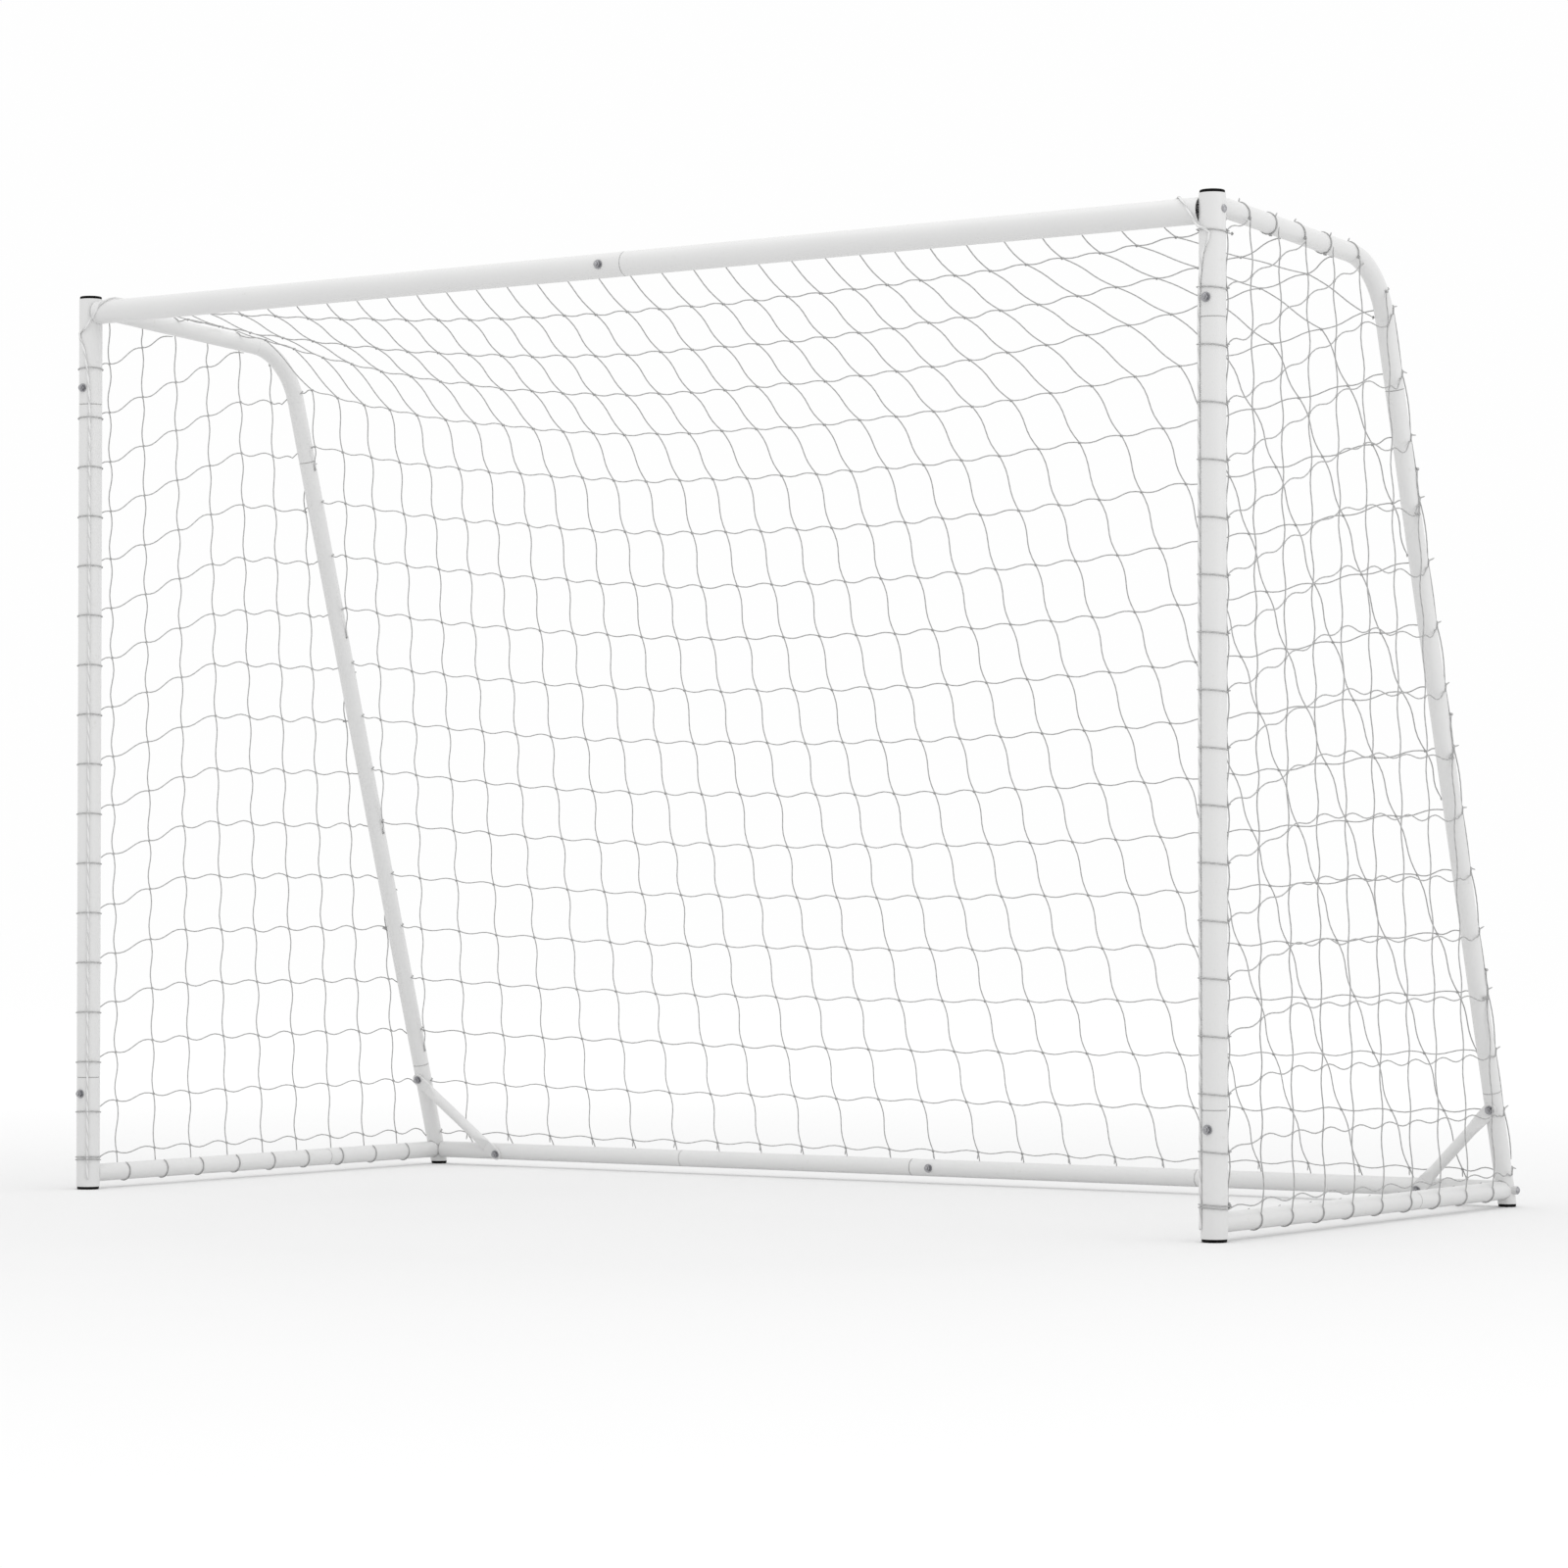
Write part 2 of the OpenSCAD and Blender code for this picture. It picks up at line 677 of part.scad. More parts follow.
module net_border_cord() {
    n = len(cord_route);
    rings = [for (i = [0 : n - 1], k = [0 : cord_sides - 1])
        let (a = k * 360 / cord_sides, u = cord_side(i), v = cross(route_dir(i), u))
        cord_route[i] + cord_d / 2 * (cos(a) * u + sin(a) * v)];
    walls = [for (i = [0 : n - 2], k = [0 : cord_sides - 1])
        let (a = i * cord_sides + k, b = i * cord_sides + (k + 1) % cord_sides)
        [a, a + cord_sides, b + cord_sides, b]];
    ends = [[for (k = [0 : cord_sides - 1]) k],
        [for (k = [cord_sides - 1 : -1 : 0]) (n - 1) * cord_sides + k]];
    color(net_white) polyhedron(points = rings, faces = concat(walls, ends));
}

// ---------- the goal ----------
module at_right_post() {
    translate([post_x, 0, 0]) children();
}

goal_frame() {
    on_left() at_right_post() post_top();  // left_post_top
    on_left() at_right_post() post_middle();  // left_post_middle
    on_left() at_right_post() post_foot();  // left_post_foot
    at_right_post() post_top();  // right_post_top
    at_right_post() post_middle();  // right_post_middle
    at_right_post() post_foot();  // right_post_foot
    crossbar_left();
    crossbar_right();
    on_left() at_right_post() top_side_tube();  // left_top_side_tube
    at_right_post() top_side_tube();  // right_top_side_tube
    on_left() rear_leg_middle();  // left_rear_leg_middle
    rear_leg_middle();  // right_rear_leg_middle
    on_left() rear_leg_foot();  // left_rear_leg_foot
    rear_leg_foot();  // right_rear_leg_foot
    on_left() side_ground_tube_front();  // left_side_ground_tube_front
    on_left() side_ground_tube_rear();  // left_side_ground_tube_rear
    side_ground_tube_front();  // right_side_ground_tube_front
    side_ground_tube_rear();  // right_side_ground_tube_rear
    on_left() rear_ground_tube_end(false);  // rear_ground_tube_left_end
    rear_ground_tube_left_middle();
    rear_ground_tube_right_middle();
    rear_ground_tube_end(true);  // rear_ground_tube_right_end
    on_left() corner_brace();  // left_corner_brace
    corner_brace();  // right_corner_brace
    on_left() at_right_post() post_cap();  // left_post_cap
    at_right_post() post_cap();  // right_post_cap
    on_left() at_right_post() post_foot_cap();  // left_post_foot_cap
    at_right_post() post_foot_cap();  // right_post_foot_cap
    on_left() rear_foot_cap();  // left_rear_foot_cap
    rear_foot_cap();  // right_rear_foot_cap
    each_post_joint() cross_bolt(post_r);  // post_joint_bolts
    each_post_joint() cross_washer(post_r);  // post_joint_washers
    each_post_joint() cross_nut(post_r);  // post_joint_nuts
    translate([0, 0, crossbar_z]) cross_bolt(post_r);  // crossbar_joint_bolt
    translate([0, 0, crossbar_z]) cross_washer(post_r);  // crossbar_joint_washer
    translate([0, 0, crossbar_z]) cross_nut(post_r);  // crossbar_joint_nut
    union() {  // crossbar_end_bolts
        crossbar_end_bolt();
        on_left() crossbar_end_bolt();
    }
    union() {  // crossbar_end_plugs
        crossbar_end_plug();
        on_left() crossbar_end_plug();
    }
    union() {  // rear_corner_bolts
        rear_corner_bolt();
        on_left() rear_corner_bolt();
    }
    union() {  // rear_corner_spacers
        rear_corner_spacer();
        on_left() rear_corner_spacer();
    }
    union() {  // rear_tube_end_plugs
        rear_tube_end_plug();
        on_left() rear_tube_end_plug();
    }
    each_brace_bolt() cross_bolt(tube_r, brace_stack);  // brace_bolts
    each_brace_bolt() cross_washer(tube_r, brace_stack);  // brace_washers
    each_brace_bolt() cross_nut(tube_r, brace_stack);  // brace_nuts
    at_rear_joint() cross_bolt(tube_r);  // rear_joint_bolt
    at_rear_joint() cross_washer(tube_r);  // rear_joint_washer
    at_rear_joint() cross_nut(tube_r);  // rear_joint_nut
    on_left() side_net_panel();  // left_net_panel
    side_net_panel();  // right_net_panel
    back_net_panel();
    net_border_cord();
}
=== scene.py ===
"""The looks of the goal frame: powder-coated tubes, plastic caps, zinc fasteners and a knotted net.

Lengths are in metres, in the frame's own axes: +Z up, mouth facing -Y. Inside the net's code,
y is measured from the axis of the posts, and place() turns it into the frame's own Y.
"""

import math
import random

import bpy
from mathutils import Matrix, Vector


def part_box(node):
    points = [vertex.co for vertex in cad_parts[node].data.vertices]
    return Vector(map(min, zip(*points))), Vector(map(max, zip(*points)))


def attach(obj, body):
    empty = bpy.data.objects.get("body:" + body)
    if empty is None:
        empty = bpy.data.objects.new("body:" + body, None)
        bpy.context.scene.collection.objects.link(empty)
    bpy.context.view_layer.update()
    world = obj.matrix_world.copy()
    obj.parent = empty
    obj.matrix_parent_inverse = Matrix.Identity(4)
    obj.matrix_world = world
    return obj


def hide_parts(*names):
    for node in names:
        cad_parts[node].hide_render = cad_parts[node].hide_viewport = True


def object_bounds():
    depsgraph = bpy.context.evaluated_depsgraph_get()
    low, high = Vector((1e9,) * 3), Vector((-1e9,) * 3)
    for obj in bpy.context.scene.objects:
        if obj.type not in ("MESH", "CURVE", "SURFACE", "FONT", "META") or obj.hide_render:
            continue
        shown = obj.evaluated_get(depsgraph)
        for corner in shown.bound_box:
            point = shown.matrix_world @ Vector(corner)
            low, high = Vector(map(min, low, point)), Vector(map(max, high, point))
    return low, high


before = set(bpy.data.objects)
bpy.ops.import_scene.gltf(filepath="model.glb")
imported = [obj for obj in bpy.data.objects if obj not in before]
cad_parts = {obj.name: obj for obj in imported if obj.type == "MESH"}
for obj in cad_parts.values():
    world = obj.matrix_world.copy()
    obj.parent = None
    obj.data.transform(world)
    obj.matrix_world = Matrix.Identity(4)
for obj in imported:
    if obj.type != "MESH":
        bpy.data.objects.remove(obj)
cad_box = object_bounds()
rng = random.Random(11)

# ---------- sizes ----------
CORD_R = 0.0014             # net cord
BORDER_R = 0.0025           # border cord
CLEAR = 0.0004              # air between a cord and the tube it lies on
LEG_LEAN = math.radians(16.7)
TOP_SLOPE = math.radians(3.3)
BEND_R = 0.172              # bend between top side tube and leg, at the axis
SIDE_TUBE_DROP = 0.026      # top side tube's axis below the top of the caps, at the post axis


def centre(node):
    low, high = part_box(node)
    return (low + high) / 2


def size(node):
    low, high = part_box(node)
    return high - low


# ---------- places taken from the frame ----------
POST_X = centre("right_post_middle").x
POST_Y = centre("right_post_middle").y
POST_R = size("right_post_middle").y / 2
TUBE_R = size("right_rear_leg_middle").x / 2
BAR_Z = centre("crossbar_left").z
GROUND_Z = centre("rear_ground_tube_right_middle").z
GROUND_Y = centre("rear_ground_tube_right_middle").y - POST_Y
SIDE_Z = cad_box[1][2] - SIDE_TUBE_DROP
ON_TUBE = TUBE_R + CORD_R + CLEAR       # a net cord's distance from the axis of a side tube
ON_POST = POST_R + CORD_R + CLEAR
INNER_X = POST_X - ON_TUBE              # where the back net reaches the side tubes
OUTER_X = POST_X + ON_TUBE              # the side nets lie against the tubes' outer faces


def place(x, y, z):
    return Vector((x, POST_Y + y, z))


# ---------- the side tube's axis, as y and z ----------
lean, slope = math.tan(LEG_LEAN), math.tan(TOP_SLOPE)
foot_y = GROUND_Y + GROUND_Z * lean
corner_y = (foot_y - SIDE_Z * lean) / (1 - lean * slope)
corner_z = SIDE_Z - corner_y * slope
tangent = BEND_R * math.tan((math.pi / 2 - LEG_LEAN - TOP_SLOPE) / 2)
bend_start_y = corner_y - tangent * math.cos(TOP_SLOPE)
bend_end_z = corner_z - tangent * math.cos(LEG_LEAN)
bend_y = bend_start_y - BEND_R * math.sin(TOP_SLOPE)
bend_z = corner_z + tangent * math.sin(TOP_SLOPE) - BEND_R * math.cos(TOP_SLOPE)


def axis_z(y):
    """Height of the top side tube's axis at y."""
    if y <= bend_start_y:
        return SIDE_Z - y * slope
    return bend_z + math.sqrt(max(BEND_R ** 2 - (y - bend_y) ** 2, 0))


def axis_y(z):
    """Distance behind the post of the rear leg's axis at height z."""
    if z <= bend_end_z:
        return foot_y - z * lean
    return bend_y + math.sqrt(max(BEND_R ** 2 - (z - bend_z) ** 2, 0))


def rear_normal(z):
    """Direction from the leg's axis straight out of its rear face, at height z."""
    step = 0.004
    run = axis_y(z + step) - axis_y(z - step)
    return Vector((0, 2 * step, -run)).normalized()


# ---------- camera ----------
def make_camera():
    yaw, pitch = math.radians(34.561), math.radians(1.311)
    data = bpy.data.cameras.new("camera")
    data.lens = 109.93
    data.sensor_width = 36
    data.clip_end = 200
    camera = bpy.data.objects.new("camera", data)
    camera.location = (6.073, -8.7807, 0.677)
    camera.rotation_euler = (math.pi / 2 + pitch, 0, yaw)
    bpy.context.scene.collection.objects.link(camera)
    bpy.context.scene.camera = camera


# ---------- cord meshes ----------
class CordMesh:
    """Cords swept along paths, gathered into one mesh. Its UVs run round and along each cord."""

    def __init__(self):
        self.verts = []
        self.faces = []
        self.uvs = []

    def sweep(self, path, radius, sides=6):
        """A round cord along the points of path, with its ends rounded in."""
        points = [Vector(p) for p in path]
        base = len(self.verts)
        last = len(points) - 1
        side = None
        run = 0.0
        runs = []
        for i, point in enumerate(points):
            along = (points[min(i + 1, last)] - points[max(i - 1, 0)]).normalized()
            if side is None:
                side = along.orthogonal().normalized()
            side = (side - along * side.dot(along)).normalized()
            other = along.cross(side)
            r = radius * (0.55 if i in (0, last) else 1)
            for k in range(sides):
                a = 2 * math.pi * k / sides
                self.verts.append(point + r * (math.cos(a) * side + math.sin(a) * other))
            run += (point - points[max(i - 1, 0)]).length
            runs.append(run / (2 * math.pi * radius))
        for i in range(last):
            for k in range(sides):
                k2 = (k + 1) % sides
                a, b = base + i * sides, base + (i + 1) * sides
                self.faces.append((a + k, a + k2, b + k2, b + k))
                u, u2 = k / sides, (k + 1) / sides
                self.uvs += [(u, runs[i]), (u2, runs[i]), (u2, runs[i + 1]), (u, runs[i + 1])]
        for i, order in ((0, -1), (last, 1)):
            ring = [base + i * sides + k for k in range(sides)][::order]
            self.faces.append(tuple(ring))
            self.uvs += [(0.5, runs[i])] * sides

    def knot(self, point, along, across, grip=1.0):
        """Two turns of cord pulled tight round a crossing."""
        along, across = Vector(along).normalized(), Vector(across).normalized()
        third = along.cross(across).normalized()
        turns, steps = 1.7, 13
        coil_r = 1.15 * CORD_R * grip
        reach = 2.1 * CORD_R * grip
        path = []
        for i in range(steps):
            t = i / (steps - 1)
            a = 2 * math.pi * turns * t
            path.append(point + along * reach * (2 * t - 1)
                        + coil_r * (math.cos(a) * across + math.sin(a) * third))
        self.sweep(path, CORD_R * 1.05 * grip, 6)

    def tail(self, point, direction, length):
        """A short cut end that springs from a knot with a slight curl."""
        direction = Vector(direction).normalized()
        curl = direction.orthogonal().normalized() * length * rng.uniform(-0.18, 0.18)
        path = [point + direction * length * t + curl * t * t for t in (0, 0.35, 0.7, 1)]
        self.sweep(path, CORD_R * 1.1, 6)

    def build(self, name):
        mesh = bpy.data.meshes.new(name)
        mesh.from_pydata(self.verts, [], self.faces)
        layer = mesh.uv_layers.new(name="cord")
        layer.data.foreach_set("uv", [x for uv in self.uvs for x in uv])
        mesh.polygons.foreach_set("use_smooth", [True] * len(mesh.polygons))
        mesh.update()
        piece = bpy.data.objects.new(name, mesh)
        bpy.context.scene.collection.objects.link(piece)
        return piece


def s_curve(start, end, push, steps=8):
    """Points from start up to just before end, swayed one way and then the other by push."""
    points = []
    for i in range(steps):
        t = i / steps
        points.append(start.lerp(end, t) + push * math.sin(2 * math.pi * t))
    return points


def ring_points(middle, u, v, radius, start, stop, steps):
    """Points on a circle about middle in the plane of u and v, from angle start to stop."""
    return [middle + radius * (math.cos(a) * u + math.sin(a) * v)
            for a in (start + (stop - start) * i / (steps - 1) for i in range(steps))]


# ---------- the back net: roof and back in one sheet ----------
ROWS = 18
HALF_COLUMNS = 18           # at most, each way: column_end() leaves out the ones that don't fit
ROW_SWAY = 0.0042
COLUMN_SWAY = 0.0042
EDGE_GAP = 0.12             # a column has no knot this close, in rows, to its end on a side tube
FIRST_LEG_ROW = 4           # the rows between row 0 and it end on the top side tubes
LEG_TOP_KNOT_Z = 1.888
LEG_KNOT_PITCH = 0.1291
LEG_KNOT_ANGLE = 42         # degrees from the leg's outer face towards its rear
BAR_TIE = (POST_R * 0.76, BAR_Z + POST_R * 0.85)    # y and z of row 0, at the crossbar's upper rear

# the slack middle of the sheet
FIRST_SLACK = (0.194, 1.939)            # y and z of row 1
ROOF_FALL, KNEE_TURN = 32.3, 35.9       # degrees: the roof's fall, and how much more the back's is
KNEE_START, KNEE_ROWS = 3.4, 2.8        # the row at which the knee starts, and its length in rows
ROOF_STEP, STEP_LOSS = 0.144, 0.0166    # between rows on the roof, and how much less on the back

# its edges
SLACK_POWER = 2.2                       # the sheet is slack in the middle and turns late to its edges
ROOF_EDGE_START, ROOF_EDGE_STEP = -0.16, 0.22   # y = start + step * row, on the top side tubes
LEFT_LIFT = 0.011                       # the sheet's knee is held this much higher on the left
LIFT_START, LIFT_WIDTH = 0.3, 0.5       # from this far left of the middle, over this width
LIFT_LAST_ROW, LIFT_FADE_ROWS = 11, 4   # it fades in from row 0, and is gone at the last row
LEFT_OVER = 0.042                       # the roof's left edge lies on top of the tube
RIGHT_UNDER = -0.014                    # and its right edge hangs below the tube
ROOF_LAST_ROW, ROOF_FADE_ROWS = 4.5, 1.5    # both are gone at this row, after fading this long

# its columns
TOP_PITCH, BOTTOM_PITCH = 0.0826, 0.1231        # at the crossbar and at the ground
PULLED_COLUMN = 14                      # the pulls below are this column's, as shares of its place
LEFT_PULL = 0.02
RIGHT_PULL, PULL_LOSS = 0.05, 0.02      # high up, and how much less further down
LOSS_START_ROW, LOSS_ROWS = 6, 3


def smooth(t):
    t = min(max(t, 0), 1)
    return t * t * (3 - 2 * t)


def slack_rows():
    """The sheet's middle section at each row: a sagging roof, a knee and a sloping back."""
    y, z = FIRST_SLACK
    rows = [BAR_TIE, (y, z)]
    for row in range(1, ROWS):
        bend = smooth((row + 0.5 - KNEE_START) / KNEE_ROWS)
        angle = math.radians(ROOF_FALL + KNEE_TURN * bend)
        step = ROOF_STEP - STEP_LOSS * bend
        y += step * math.cos(angle)
        z -= step * math.sin(angle)
        rows.append((y, z))
    return rows


def edge_rows():
    """Where each row ends on the side tube or the leg."""
    rows = [BAR_TIE]
    for row in range(1, ROWS + 1):
        if row < FIRST_LEG_ROW:
            y = ROOF_EDGE_START + ROOF_EDGE_STEP * row
            rows.append((y, axis_z(y) - ON_TUBE))
        else:
            z = LEG_TOP_KNOT_Z - LEG_KNOT_PITCH * (row - FIRST_LEG_ROW)
            rows.append((axis_y(z), z))
    return rows


SLACK, EDGE = slack_rows(), edge_rows()


def row_value(rows, row):
    """The y and z of a row, which needn't be a whole one."""
    low = min(int(row), ROWS - 1)
    t = row - low
    return [a + (b - a) * t for a, b in zip(rows[low], rows[low + 1])]


def knee_lift(x, row):
    """How much higher the sheet is held on the left, round its knee."""
    lift = LEFT_LIFT * smooth((-x - LIFT_START) / LIFT_WIDTH) * smooth(row / LIFT_FADE_ROWS)
    return lift * smooth((LIFT_LAST_ROW - row) / LIFT_FADE_ROWS)


def roof_edge_shift(x, row, share):
    """How far the roof's edge lies above the left tube or below the right one."""
    shift = LEFT_OVER if x < 0 else RIGHT_UNDER
    return shift * share * min(row, 1) * smooth((ROOF_LAST_ROW - row) / ROOF_FADE_ROWS)


def sheet_point(x, row):
    """A point of the back net: slack in the middle, held by the side tubes at its edges."""
    share = min(abs(x) / POST_X, 1) ** SLACK_POWER
    slack, edge = row_value(SLACK, row), row_value(EDGE, row)
    y, z = [a + (b - a) * share for a, b in zip(slack, edge)]
    lift = knee_lift(x, row) + roof_edge_shift(x, row, share)
    return place(x, y, z + lift)


def widening(column, row):
    """The outer columns are pulled apart a little, the most at the top right."""
    if column > 0:
        pull = RIGHT_PULL - PULL_LOSS * smooth((row - LOSS_START_ROW) / LOSS_ROWS)
    else:
        pull = LEFT_PULL
    return 1 + pull * (column / PULLED_COLUMN) ** 2


def column_x(column, row):
    """Columns fan out from the crossbar down to the ground tube."""
    pitch = TOP_PITCH + (BOTTOM_PITCH - TOP_PITCH) * row / ROWS
    return column * widening(column, row) * pitch


def column_end(column):
    """The row, whole or not, at which a column reaches a side tube or the ground tube."""
    looks_per_row = 20
    steps = looks_per_row * ROWS
    for i in range(steps):
        row = ROWS * i / steps
        if abs(column_x(column, row)) > INNER_X:
            return row
    return ROWS


def jitter(amount=0.0016):
    return Vector([rng.uniform(-amount, amount) for _ in range(3)])


def back_knots():
    """The place of every knot of the back net, by column and row."""
    knots = {}
    for column in range(-HALF_COLUMNS, HALF_COLUMNS + 1):
        end = column_end(column)
        for row in range(0, ROWS + 1):
            if row <= end - EDGE_GAP or row == end == ROWS:
                shake = jitter() if row else Vector()
                knots[column, row] = sheet_point(column_x(column, row), row) + shake
    return knots


def leg_wrap(side, z, start, stop, steps=7):
    """Points round a leg at height z. Angle 0 is its outer face, 90 degrees its rear."""
    outward = Vector((side, 0, 0))
    middle = place(side * POST_X, axis_y(z), z)
    return ring_points(middle, outward, rear_normal(z), ON_TUBE,
                       math.radians(start), math.radians(stop), steps)


def tube_wrap(side, y, start, stop, steps):
    """Points round the top side tube at y. Angle 0 is its outer face, 90 degrees its top."""
    outward = Vector((side, 0, 0))
    step = 0.004
    rise = axis_z(y + step) - axis_z(y - step)
    upward = Vector((0, -rise, 2 * step)).normalized()
    middle = place(side * POST_X, y, axis_z(y))
    return ring_points(middle, outward, upward, ON_TUBE,
                       math.radians(start), math.radians(stop), steps)


def row_end(side, row):
    """How a row of the back net leaves the sheet and takes hold of the frame."""
    if row < FIRST_LEG_ROW:
        y = EDGE[row][0]
        if side < 0:
            return tube_wrap(side, y, 145, 95, 4)
        return tube_wrap(side, y, -110, -92, 3)
    z = EDGE[row][1]
    return leg_wrap(side, z, 180, LEG_KNOT_ANGLE)


def swayed(stops, direction, most, full_gap, least_share):
    """A cord through the stops, up to just before the last, with less sway below full_gap."""
    path = []
    for a, b in zip(stops, stops[1:]):
        sway = most * min(1, (b - a).length / full_gap) * rng.uniform(least_share, 1.2)
        path += s_curve(a, b, direction * sway)
    return path


def add_back_rows(net, knots):
    for row in range(1, ROWS + 1):
        held = sorted(c for c, r in knots if r == row)
        line = [knots[c, row] for c in held]
        up = (sheet_point(0, row - 1) - sheet_point(0, row)).normalized()
        left_end, right_end = row_end(-1, row), row_end(1, row)
        stops = [left_end[0]] + line + [right_end[0]]
        path = list(reversed(left_end[1:])) + swayed(stops, -up, ROW_SWAY, 0.08, 0.8) + right_end
        net.sweep(path, CORD_R)
        for point in line:
            net.knot(point, (1, 0, 0.5), up)


def add_back_columns(net, knots):
    sideways = Vector((1, 0, 0))
    for column in range(-HALF_COLUMNS, HALF_COLUMNS + 1):
        held = [knots[column, r] for r in range(ROWS + 1) if (column, r) in knots]
        end = column_end(column)
        if len(held) < 2:
            continue
        if end < ROWS:
            held.append(sheet_point(math.copysign(1, column) * INNER_X, end))
        path = swayed(held, sideways, COLUMN_SWAY, 0.1, 0.8)
        if end < ROWS:
            path.append(held[-1])
            net.knot(held[-1], (0, 0.3, -1), (1, 0, 0))
        else:
            path += rear_tube_hook(held[-1])
            net.tail(held[-1], (0.12, -0.25, -1), 0.017)
        net.sweep(path, CORD_R)
        net.knot(held[0] + Vector((0, 0.001, 0.003)), (1, 0, 0), (0, 0.6, 0.8), 1.25)


def make_back_net():
    net = CordMesh()
    knots = back_knots()
    add_back_rows(net, knots)
    add_back_columns(net, knots)
    return net.build("net_back")


def rear_tube_hook(start):
    """From the last row's knot down behind the rear ground tube, towards its underside."""
    middle = Vector((start.x, POST_Y + GROUND_Y, GROUND_Z))
    hook = ring_points(middle, Vector((0, 1, 0)), Vector((0, 0, 1)), ON_TUBE,
                       math.radians(40), math.radians(-60), 7)
    return [start] + hook


# ---------- the side nets ----------
SIDE_ROW_SWAY = 0.0055
SIDE_COLUMN_SWAY = 0.0048
POST_KNOT_ANGLE = math.radians(34)      # behind the post's outer side
BORDER_ANGLE = math.radians(-128.5)     # the border cord's place on the post
BORDER_BUMP = 0.3                       # radians to each side of it in which a turn rides over it
POST_WRAP_DROP = 0.0045                 # a turn round the post hangs this far below its knot
LAST_WRAP_LIFTS = (0.005, 0.011)        # the two turns at the foot of a post, above the last knot
CLIMB, CLIMB_GAIN = 0.20, 0.115         # a row's slope at floor level, and what it gains per metre
CLIMB_FROM_Y = 0.035                    # where the climb starts, behind the post's axis
SAG_GAIN = 0.016                        # a row's sag below its knot on the leg, per metre of height
LEAST_CLIMB = 0.004
SOFTNESS = 0.004                        # of the turn from the climb to the level run
COLUMN_FOOT_Z = 0.06                    # where bottom_y and bottom_pitch hold
PAST_LEG_AXIS = 0.012                   # a column's top may be this far behind the leg's axis
BELOW_TUBE_AXIS = 0.008                 # and it stays this far below the top side tube's axis
SCAN_STEP = 0.002
TOP_KNOT_GAP = 0.012                    # a column's first knot is at least this far below its top
LEG_KNOT_REACH = 0.004                  # a crossing may lie this far behind the leg's axis

# turns that tie a side column, as degrees from, degrees to and points
LEG_TURN = (30, 150, 8)
LEFT_TUBE_TURN = (-30, 60, 8)
RIGHT_SHORT_TURN = (-28, 200, 20)
RIGHT_LONG_TURN = (-80, 274, 20)
TURN_DRIFT = Vector((0, -0.012, 0))     # the middle of a turn on the right tube lies forward


class SideNet:
    """One side's layout. side is +1 on the right, and y runs rearwards from the post's axis."""

    def __init__(self, side, first_row_z, row_pitch, rows, skipped, top_y, top_pitch,
                 bottom_y, bottom_pitch, columns, leg_drop):
        self.side = side
        self.first_row_z, self.row_pitch = first_row_z, row_pitch
        self.rows, self.skipped = rows, skipped
        self.top_y, self.top_pitch = top_y, top_pitch
        self.bottom_y, self.bottom_pitch = bottom_y, bottom_pitch
        self.columns = columns
        self.leg_drop = leg_drop

    def knot_z(self, row):
        """Height of the row's knot on the leg, or None where the row ends on the top tube."""
        if row < self.skipped:
            return None
        return LEG_TOP_KNOT_Z - LEG_KNOT_PITCH * (row - self.skipped)

    def row_z(self, row, y):
        """A row leaves the post, climbs, and then runs level to the leg.

        High rows climb the most steeply, and sag the furthest below their knots on the leg.
        """
        start = self.first_row_z - self.row_pitch * row
        rise = CLIMB + CLIMB_GAIN * start
        climb = start + rise * max(y - CLIMB_FROM_Y, 0)
        leg_z = self.knot_z(row)
        if leg_z is None:
            return climb
        drop = self.leg_drop + SAG_GAIN * leg_z
        level = max(leg_z - drop, start + LEAST_CLIMB)
        climb_part = math.exp(-(climb - start) / SOFTNESS)
        level_part = math.exp(-(level - start) / SOFTNESS)
        return -SOFTNESS * math.log(climb_part + level_part) + start

    def column_y(self, column, z):
        top = self.top_y + self.top_pitch * column
        bottom = self.bottom_y + self.bottom_pitch * column
        return top + (bottom - top) * (SIDE_Z - z) / (SIDE_Z - COLUMN_FOOT_Z)

    def column_top(self, column):
        """Height at which a column takes hold of the top tube or crosses onto the leg."""
        z = SIDE_Z
        while z > 0.1:
            y = self.column_y(column, z)
            if y < axis_y(z) + PAST_LEG_AXIS and z < axis_z(y) - BELOW_TUBE_AXIS:
                return z
            z -= SCAN_STEP
        return z

    def crossing(self, column, row):
        """Where a column meets a row, closed in on from a point half a metre behind the post."""
        z = self.row_z(row, 0.5)
        for _ in range(4):
            y = self.column_y(column, z)
            z = self.row_z(row, y)
        return y, z

    def point(self, y, z):
        return place(self.side * OUTER_X, y, z)


def post_knot(net, row):
    z = net.row_z(row, 0)
    return place(net.side * (POST_X + ON_POST * math.cos(POST_KNOT_ANGLE)),
                 ON_POST * math.sin(POST_KNOT_ANGLE), z)


def post_wrap(mesh, side, z, slant=0.005):
    """A turn of cord round a post, from its knot past the border cord and back again."""
    middle = place(side * POST_X, 0, 0)
    path = []
    steps = 30
    for i in range(steps + 1):
        a = POST_KNOT_ANGLE - 2 * math.pi * i / steps
        near_border = 0.5 + 0.5 * math.cos(a - BORDER_ANGLE)
        bump = 2 * BORDER_R * smooth(1 - abs((a - BORDER_ANGLE) / BORDER_BUMP))
        r = ON_POST + bump
        lift = slant * near_border - (POST_WRAP_DROP if 0 < i < steps else 0)
        path.append(middle + Vector((side * r * math.cos(a), r * math.sin(a), z + lift)))
    mesh.sweep(path, CORD_R)
    mesh.knot(path[0], (0, 0, 1), (side, 0, 0), 1.1)
    mesh.tail(path[0], (side * 0.9, 0.3, rng.uniform(-0.6, 0.4)), 0.006)


